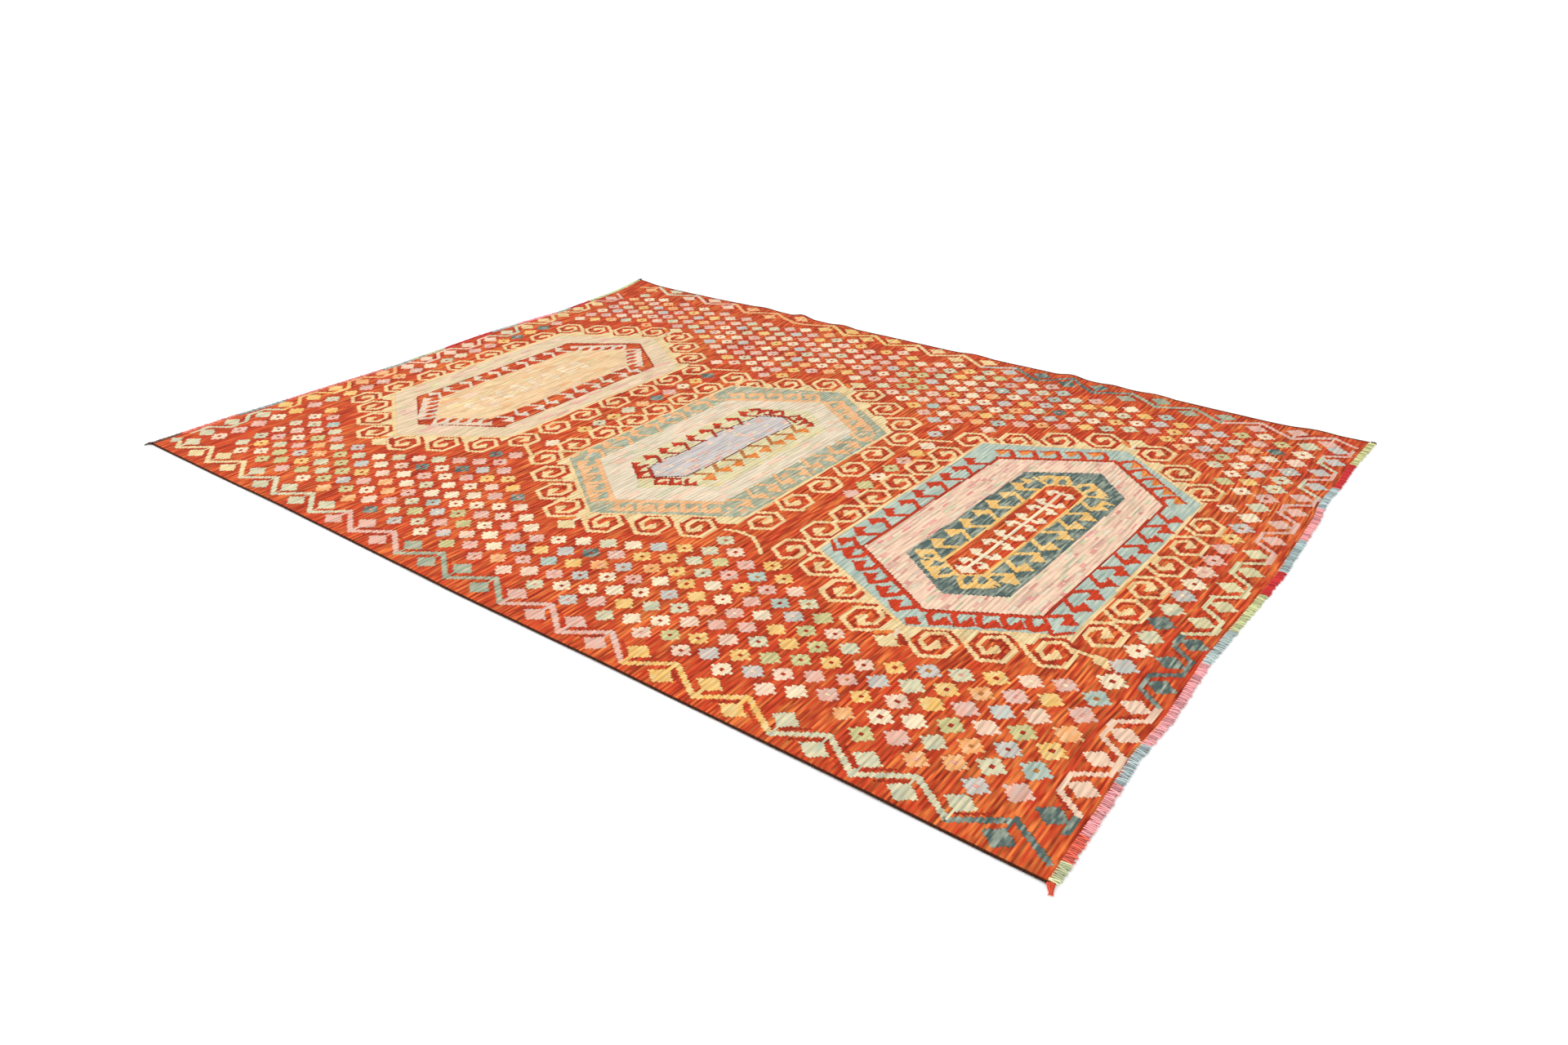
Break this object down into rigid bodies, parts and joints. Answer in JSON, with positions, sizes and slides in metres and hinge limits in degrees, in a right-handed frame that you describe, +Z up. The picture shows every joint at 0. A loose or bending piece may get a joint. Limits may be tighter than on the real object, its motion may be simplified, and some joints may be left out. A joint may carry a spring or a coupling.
{
  "type": "kilim rug",
  "caption": "Large flat-woven wool rug with hooked hexagonal medallions, rows of stars and a zigzag border, dark overcast long sides, and coloured wraps along its short ends.",
  "frame": {"origin": "on the floor, under the middle of the rug", "axes": "+X along the length, from the short end that is far left in the picture to the near right one; +Y across the width, from the near long side to the far one; +Z up through the thickness, pattern side up"},
  "size_m": [3.513, 2.5576, 0.0166],
  "materials": {
    "woven_ground": "matt weft-faced wool tapestry, brick red and orange with coloured motifs",
    "selvedge": "matt dark brown wool, overcast",
    "end_wraps": "matt wool wraps in blocks of pink, red, blue-grey and pale green",
    "orange_tuft": "matt orange-red wool yarn",
    "dark_tuft": "matt dark brown wool yarn"
  },
  "bodies": {
    "root": {"woven_ground": "woven_ground", "selvedge_near": "selvedge", "selvedge_far": "selvedge", "end_wraps_left": "end_wraps", "end_wraps_right": "end_wraps", "tuft_near_right": "orange_tuft", "tuft_near_left": "dark_tuft", "tuft_far_right": "dark_tuft", "tuft_far_left": "dark_tuft"}
  },
  "joints": []
}
